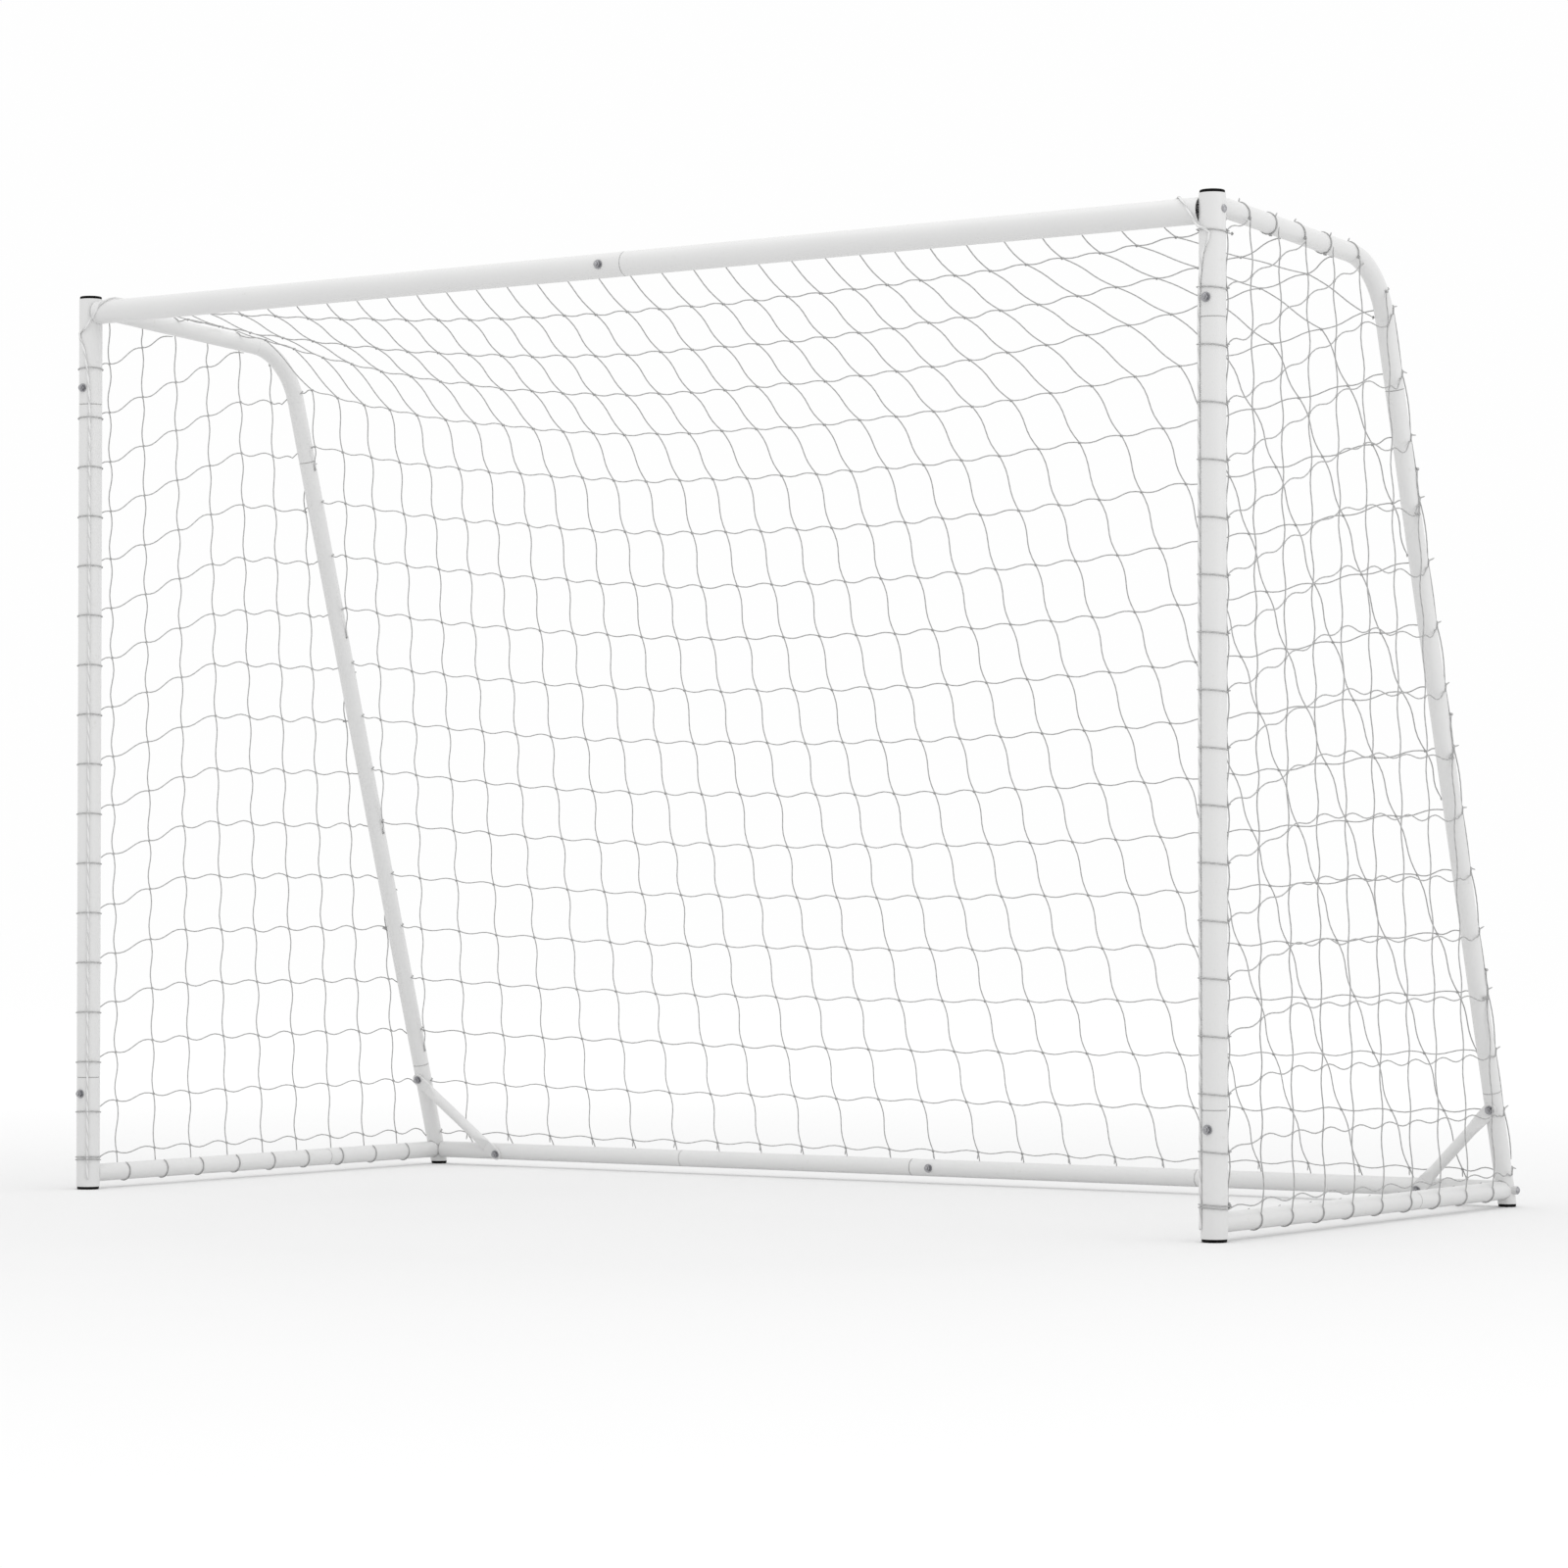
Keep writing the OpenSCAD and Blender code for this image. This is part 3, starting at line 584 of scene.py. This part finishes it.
def side_crossings(net):
    """Every crossing of a row and a column that lies on the net."""
    knots = {}
    for column in range(net.columns):
        top = net.column_top(column)
        for row in range(net.rows):
            y, z = net.crossing(column, row)
            if z < top - TOP_KNOT_GAP and y < axis_y(z) + LEG_KNOT_REACH:
                shake = jitter()
                shake.x = 0
                knots[column, row] = net.point(y, z) + shake
    return knots


def side_row_end(net, row):
    """Where a row meets the top tube, or climbs over the leg's outer face to its knot."""
    leg_z = net.knot_z(row)
    if leg_z is not None:
        y = axis_y(leg_z) - TUBE_R
        before = net.point(y, net.row_z(row, y))
        onto_leg = leg_wrap(net.side, leg_z - 0.01, -35, 0, 3)[1:]
        to_knot = leg_wrap(net.side, leg_z, 14, LEG_KNOT_ANGLE, 4)
        return [before] + onto_leg + to_knot
    y = 0.03
    while net.row_z(row, y) < axis_z(y) - TUBE_R and y < axis_y(net.row_z(row, y)) - TUBE_R:
        y += SCAN_STEP
    under_tube = place(net.side * (OUTER_X - 0.008), y + 0.012, axis_z(y) - TUBE_R)
    return [net.point(y, net.row_z(row, y)), under_tube]


def add_side_rows(mesh, net, knots):
    """The rows, from the post rearwards, with their knots on the leg."""
    side = net.side
    for row in range(net.rows):
        held = [knots[key] for key in sorted(knots) if key[1] == row]
        end = side_row_end(net, row)
        stops = [post_knot(net, row)] + held + [end[0]]
        path = swayed(stops, Vector((0, 0, side)), SIDE_ROW_SWAY, 0.1, 0.75) + end
        mesh.sweep(path, CORD_R)
        for point in held:
            mesh.knot(point, (0, 1, 0.5), (0, 0, 1))
        if net.knot_z(row) is not None:
            outward = end[-1] - place(side * POST_X, axis_y(end[-1].z), end[-1].z)
            mesh.knot(end[-1], (0, 0.3, 1), outward, 1.2)
            mesh.tail(end[-1], (side * 0.35, 1, rng.uniform(-0.1, 0.6)), rng.uniform(0.011, 0.016))


def add_side_columns(mesh, net, knots):
    """The columns, from the top down, looped under the ground tube."""
    side = net.side
    for column in range(net.columns):
        held = [knots[column, row] for row in range(net.rows) if (column, row) in knots]
        top_z = net.column_top(column)
        top = net.point(net.column_y(column, top_z), top_z)
        path = swayed([top] + held, Vector((0, -side, 0)), SIDE_COLUMN_SWAY, 0.1, 0.75)
        path += ground_loop(side, held[-1])
        mesh.sweep(path, CORD_R)
        mesh.tail(held[-1], (side * 0.5, -0.8 * side, -0.5), 0.008)
        top_loop(mesh, net, column, top)


def add_post_edge(mesh, net):
    """The edge against the post, and the turns of cord that hold it there."""
    side = net.side
    edge = [post_knot(net, row) for row in range(net.rows)]
    path = []
    for a, b in zip(edge, edge[1:]):
        path += s_curve(a, b, Vector((side * 0.001, 0.003, 0)))
    mesh.sweep(path + [edge[-1]], CORD_R)
    for point in edge[:-1]:
        post_wrap(mesh, side, point.z)
    for lift in LAST_WRAP_LIFTS:
        post_wrap(mesh, side, edge[-1].z + lift, 0.004)


def add_leg_edge(mesh, net):
    """The edge cord behind the leg, bowed out between some of its knots."""
    heights = [net.knot_z(row) for row in range(net.skipped, net.rows)]
    steps = 8
    path = []
    for i, (a, b) in enumerate(zip(heights, heights[1:])):
        bow = 0.010 if i % 2 else 0.003
        for k in range(steps):
            t = k / steps
            z = a + (b - a) * t
            point = leg_wrap(net.side, z, LEG_KNOT_ANGLE + 12, LEG_KNOT_ANGLE, 2)[0]
            path.append(point + rear_normal(z) * bow * math.sin(math.pi * t))
    mesh.sweep(path, CORD_R)


def make_side_net(net, name):
    mesh = CordMesh()
    knots = side_crossings(net)
    add_side_rows(mesh, net, knots)
    add_side_columns(mesh, net, knots)
    add_post_edge(mesh, net)
    add_leg_edge(mesh, net)
    return mesh.build(name)


def ground_loop(side, start):
    """From the last row over the ground tube's outer face, under it and back up inside."""
    middle = Vector((side * POST_X, start.y, GROUND_Z))
    loop = ring_points(middle, Vector((side, 0, 0)), Vector((0, 0, 1)), ON_TUBE,
                       math.radians(32), math.radians(-250), 18)
    return [start] + loop


def top_loop(mesh, net, column, top):
    """The turn that ties a side column to the top tube or the leg."""
    side = net.side
    y = top.y - POST_Y
    if y > bend_start_y + 0.1:
        mesh.sweep([top] + leg_wrap(side, top.z, *LEG_TURN), CORD_R)
        mesh.knot(top, (0, 1, 0), (0, 0, 1), 1.1)
        return
    if side < 0:
        mesh.sweep(tube_wrap(side, y, *LEFT_TUBE_TURN), CORD_R)
        mesh.knot(top, (0, 0.2, 1), (side, 0, 0), 1.1)
        return
    short = column % 2 == 0
    ring = tube_wrap(side, y, *(RIGHT_SHORT_TURN if short else RIGHT_LONG_TURN))
    last = len(ring) - 1
    path = [p + TURN_DRIFT * math.sin(math.pi * i / last) for i, p in enumerate(ring)]
    mesh.sweep(path, CORD_R)
    mesh.knot(ring[0], (0, 0.2, 1), (side, 0, 0), 1.2)
    mesh.knot(path[-1], (0, 0.2, 1), (side, 0, 0))
    tail_at = path[len(ring) // (2 if short else 3)]
    mesh.tail(tail_at, (0.2 * side, 0.5, 1), 0.009)


# ---------- the border cord ----------
def border_route():
    """Up the inner front of each post, over its top corner and along the crossbar's rear."""
    off = POST_R + BORDER_R + 0.0006
    # x and y from the post's axis, as shares of off, and z
    on_post = [(-0.62, -0.78, 0.024), (-0.62, -0.78, 0.6), (-0.62, -0.78, 1.2), (-0.62, -0.78, 1.79),
               (-0.5, -0.87, 1.866), (-0.2, -0.98, 1.925), (0.3, -0.95, 1.964)]
    # distance in from the post's axis, y and z
    to_bar = [(0.014, -off - 0.002, 1.976), (0.036, -off + 0.002, 2.006),
              (0.058, -0.022, BAR_Z + 0.022), (0.076, 0, BAR_Z + off + 0.0005),
              (0.096, 0.016, BAR_Z + 0.026), (0.3, 0.02, BAR_Z + 0.0225)]
    half = [(POST_X + x * off, y * off, z) for x, y, z in on_post]
    half += [(POST_X - inwards, y, z) for inwards, y, z in to_bar]
    other = [(-x, y, z) for x, y, z in reversed(half)]
    return [place(*p) for p in half + other]


def smooth_route(points, spacing=0.012, longest_lead=0.05):
    """A smooth curve through the points, stepped at about the spacing."""
    path = []
    last = len(points) - 1
    for i in range(last):
        a, b = points[i], points[i + 1]
        gap = (b - a).length
        before, after = points[max(i - 1, 0)], points[min(i + 2, last)]
        leave = (b - before).normalized() * min(gap, longest_lead)
        arrive = (after - a).normalized() * min(gap, longest_lead)
        steps = max(2, int(gap / spacing))
        for k in range(steps):
            t = k / steps
            path.append(a * (2 * t ** 3 - 3 * t ** 2 + 1) + b * (3 * t ** 2 - 2 * t ** 3)
                        + leave * (t ** 3 - 2 * t ** 2 + t) + arrive * (t ** 3 - t ** 2))
    return path + [points[-1]]


def make_border():
    mesh = CordMesh()
    path = smooth_route(border_route())
    mesh.sweep(path, BORDER_R, 10)
    return mesh.build("net_border")


# ---------- materials ----------
MIX_SHARE, MIX_A, MIX_B, MIX_RESULT = 0, 6, 7, 2      # sockets of a Mix node that mixes colours


class Look:
    """A material with a Principled shader, and short ways to add nodes to it."""

    def __init__(self, name, colour, roughness, metallic=0.0):
        self.material = bpy.data.materials.new(name)
        self.material.use_nodes = True
        self.tree = self.material.node_tree
        self.shader = self.tree.nodes["Principled BSDF"]
        self.give("Base Color", (*colour, 1))
        self.give("Roughness", roughness)
        self.give("Metallic", metallic)

    def fill(self, socket, value):
        """Set an input, or link another node's output to it."""
        if isinstance(value, bpy.types.NodeSocket):
            self.tree.links.new(value, socket)
        else:
            socket.default_value = value

    def give(self, name, value):
        """Fill one of the shader's inputs."""
        self.fill(self.shader.inputs[name], value)

    def node(self, kind, values=None, **props):
        made = self.tree.nodes.new(kind)
        for key, value in props.items():
            setattr(made, key, value)
        for key, value in (values or {}).items():
            self.fill(made.inputs[key], value)
        return made

    def here(self):
        """The place on the piece, in its own coordinates."""
        return self.node("ShaderNodeTexCoord").outputs["Object"]

    def noise(self, at, scale, detail, **more):
        made = self.node("ShaderNodeTexNoise", {"Vector": at, "Scale": scale, "Detail": detail, **more})
        return made.outputs["Fac"]

    def cells(self, at, scale):
        made = self.node("ShaderNodeTexVoronoi", {"Vector": at, "Scale": scale})
        return made.outputs["Distance"]

    def sum(self, a, b, **props):
        return self.node("ShaderNodeMath", {0: a, 1: b}, operation="ADD", **props).outputs[0]

    def product(self, a, b):
        return self.node("ShaderNodeMath", {0: a, 1: b}, operation="MULTIPLY").outputs[0]

    def mix(self, share, low, high):
        """A colour between low and high, each one an RGB tuple or a node's output."""
        low, high = [c if isinstance(c, bpy.types.NodeSocket) else (*c, 1) for c in (low, high)]
        values = {MIX_SHARE: share, MIX_A: low, MIX_B: high}
        return self.node("ShaderNodeMix", values, data_type="RGBA").outputs[MIX_RESULT]

    def scaled(self, value, low, high, to_low=0.0, to_high=1.0):
        """The range low to high of a value, stretched to another range and cut off there."""
        made = self.node("ShaderNodeMapRange", {"Value": value, "From Min": low, "From Max": high,
                                                "To Min": to_low, "To Max": to_high})
        return made.outputs["Result"]

    def bump(self, height, strength, distance):
        values = {"Height": height, "Strength": strength, "Distance": distance}
        self.give("Normal", self.node("ShaderNodeBump", values).outputs["Normal"])


def grey(value):
    return (value, value, value)


def powder_coat():
    """White powder coat: fine orange peel, faint colour drift, scuffs, and painted shade in the seams.
    """
    look = Look("white_powder_coat", grey(0.8), 0.42)
    here = look.here()
    worn = look.scaled(look.noise(here, 38.0, 6.0, Roughness=0.7), 0.62, 0.78)
    clean = look.mix(look.noise(here, 6.0, 4.0), grey(0.68), (0.71, 0.71, 0.705))
    marked = look.mix(worn, clean, (0.63, 0.625, 0.61))
    # Painted shade: ambient occlusion from the piece's own steps darkens the colour in its seams and
    # grooves.
    seam = look.node("ShaderNodeAmbientOcclusion", {"Distance": 0.004}, samples=6, only_local=True)
    painted_seam_shade = look.scaled(seam.outputs["AO"], 0.55, 0.95, 1.0, 0.0)
    look.give("Base Color", look.mix(painted_seam_shade, marked, (0.06, 0.06, 0.055)))
    gloss = look.scaled(look.noise(here, 160.0, 3.0), 0.3, 0.7, 0.34, 0.48)
    look.give("Roughness", look.sum(gloss, worn, use_clamp=True))
    look.bump(look.noise(here, 900.0, 2.0), 0.25, 0.0003)
    return look.material


def black_plastic():
    """Moulded black cap: fine grain, dusty and lighter in patches."""
    look = Look("black_cap", (0.012, 0.012, 0.013), 0.45)
    look.give("Specular IOR Level", 0.03)
    here = look.here()
    dust = look.noise(here, 90.0, 5.0)
    look.give("Base Color", look.mix(look.scaled(dust, 0.4, 0.75), grey(0.003), grey(0.012)))
    look.give("Roughness", look.scaled(dust, 0.3, 0.7, 0.36, 0.6))
    look.bump(look.cells(here, 1400.0), 0.3, 0.0003)
    return look.material


def zinc_plate():
    """Zinc-plated steel: spangle and dull spots."""
    look = Look("zinc", (0.62, 0.62, 0.64), 0.3, 1.0)
    here = look.here()
    dull = look.noise(here, 260.0, 5.0)
    look.give("Base Color", look.mix(dull, (0.24, 0.24, 0.25), (0.5, 0.5, 0.52)))
    look.give("Roughness", look.scaled(dull, 0.3, 0.7, 0.22, 0.46))
    look.bump(look.cells(here, 700.0), 0.2, 0.0002)
    return look.material


def grey_plastic():
    """Light grey moulded plastic of the plugs and spacers."""
    look = Look("grey_plastic", grey(0.6), 0.45)
    here = look.here()
    cloud = look.noise(here, 120.0, 4.0)
    look.give("Base Color", look.mix(cloud, grey(0.56), grey(0.66)))
    look.give("Roughness", look.scaled(cloud, 0.3, 0.7, 0.38, 0.55))
    look.bump(look.noise(here, 1500.0, 2.0), 0.25, 0.0002)
    return look.material


def net_cord(name="net_cord", base=0.43, strands=3):
    """Twisted cord: strands that wind round it, painted shade in the grooves between them, fuzz and
    slight soiling.
    """
    look = Look(name, grey(base), 0.7)
    coords = look.node("ShaderNodeTexCoord")
    here = coords.outputs["Object"]
    parts = look.node("ShaderNodeSeparateXYZ", {"Vector": coords.outputs["UV"]})
    around = look.product(parts.outputs["X"], float(strands))
    phase = look.sum(around, look.product(parts.outputs["Y"], 0.9))
    strand = look.node("ShaderNodeMath", {0: phase, 1: 1.0}, operation="PINGPONG").outputs[0]
    rounded = look.scaled(strand, 0.0, 0.55)
    fuzz = look.noise(here, 2200.0, 2.0)
    # Painted shade: the colour is darker in the grooves between the strands and lighter on their
    # crests.
    clean = look.mix(rounded, grey(base * 0.72), grey(base * 1.08))
    soil = look.scaled(look.noise(here, 45.0, 4.0), 0.35, 0.75, 0, 0.35)
    look.give("Base Color", look.mix(soil, clean, (base * 0.8, base * 0.8, base * 0.78)))
    look.give("Roughness", look.scaled(fuzz, 0.3, 0.7, 0.62, 0.85))
    look.bump(look.sum(rounded, fuzz), 0.6, 0.0004)
    return look.material


def paint(piece, material):
    piece.data.materials.clear()
    piece.data.materials.append(material)


def paint_frame():
    """Give each CAD piece that stays in view its material, by the kind of piece that it is."""
    looks = {"white_powder_coat": powder_coat(), "black_cap": black_plastic(), "zinc": zinc_plate(),
             "grey_plastic": grey_plastic()}
    for name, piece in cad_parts.items():
        if name.endswith("_cap"):
            look = "black_cap"
        elif name.endswith(("bolts", "bolt", "washers", "washer", "nuts", "nut")):
            look = "zinc"
        elif name.endswith(("plugs", "spacers")):
            look = "grey_plastic"
        elif "net_" in name:
            continue
        else:
            look = "white_powder_coat"
        for slot in piece.material_slots:
            slot.material = looks[look]


# ---------- stage ----------
def area_light(name, location, target, width, height, power):
    data = bpy.data.lights.new(name, "AREA")
    data.shape = "RECTANGLE"
    data.size = width
    data.size_y = height
    data.energy = power
    light = bpy.data.objects.new(name, data)
    light.location = location
    aim = Vector(target) - Vector(location)
    light.rotation_euler = aim.to_track_quat("-Z", "Y").to_euler()
    bpy.context.scene.collection.objects.link(light)


def pale_floor():
    """Matt floor with a painted shadow: a little greyer under the goal than far away, with the faintest
    mottle.
    """
    look = Look("floor", grey(0.95), 0.8)
    look.give("Specular IOR Level", 0.0)
    here = look.here()
    # Painted shadow: the floor's colour is greyest round this point in front of the goal and fades to
    # white between 1.2 m and 7.5 m from it.
    painted_shadow_centre = (0.4, -0.6, 0)
    away = look.node("ShaderNodeVectorMath", {0: here, 1: painted_shadow_centre}, operation="DISTANCE")
    far = look.scaled(away.outputs["Value"], 1.2, 7.5)
    near = look.mix(look.noise(here, 1.5, 2.0), grey(0.77), grey(0.78))
    look.give("Base Color", look.mix(far, near, grey(1)))
    return look.material


def make_stage():
    reach = 60
    mesh = bpy.data.meshes.new("floor")
    mesh.from_pydata([(-reach, -reach, 0), (reach, -reach, 0), (reach, reach, 0), (-reach, reach, 0)],
                     [], [(0, 1, 2, 3)])
    floor = bpy.data.objects.new("floor", mesh)
    bpy.context.scene.collection.objects.link(floor)
    paint(floor, pale_floor())
    world = bpy.data.worlds.new("world")
    world.use_nodes = True
    sky = world.node_tree.nodes["Background"]
    sky.inputs["Color"].default_value = (*grey(0.993), 1)
    sky.inputs["Strength"].default_value = 1.0
    bpy.context.scene.world = world
    bpy.context.scene.view_settings.view_transform = "Standard"
    area_light("top_light", (1, -1, 7), (0, 0, 0), width=7, height=7, power=110)
    area_light("side_light", (8, 0, 2.5), (0, 0, 1), width=4, height=4, power=40)


# ---------- the scene ----------
make_camera()
make_stage()
paint_frame()
right = SideNet(side=1, first_row_z=1.971, row_pitch=0.1122, rows=18, skipped=3,
                top_y=0.116, top_pitch=0.114, bottom_y=0.154, bottom_pitch=0.128,
                columns=9, leg_drop=0.006)
left = SideNet(side=-1, first_row_z=1.884, row_pitch=0.1137, rows=17, skipped=2,
               top_y=0.083, top_pitch=0.1134, bottom_y=0.121, bottom_pitch=0.1275,
               columns=9, leg_drop=-0.004)
cord_look = net_cord()
border_look = net_cord("border_cord", base=0.72)
pieces = [(make_back_net(), "back_net_panel"), (make_side_net(right, "net_right"), "right_net_panel"),
          (make_side_net(left, "net_left"), "left_net_panel"), (make_border(), "net_border_cord")]
for piece, node_name in pieces:
    paint(piece, border_look if piece.name == "net_border" else cord_look)
    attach(piece, "root")
    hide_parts(node_name)
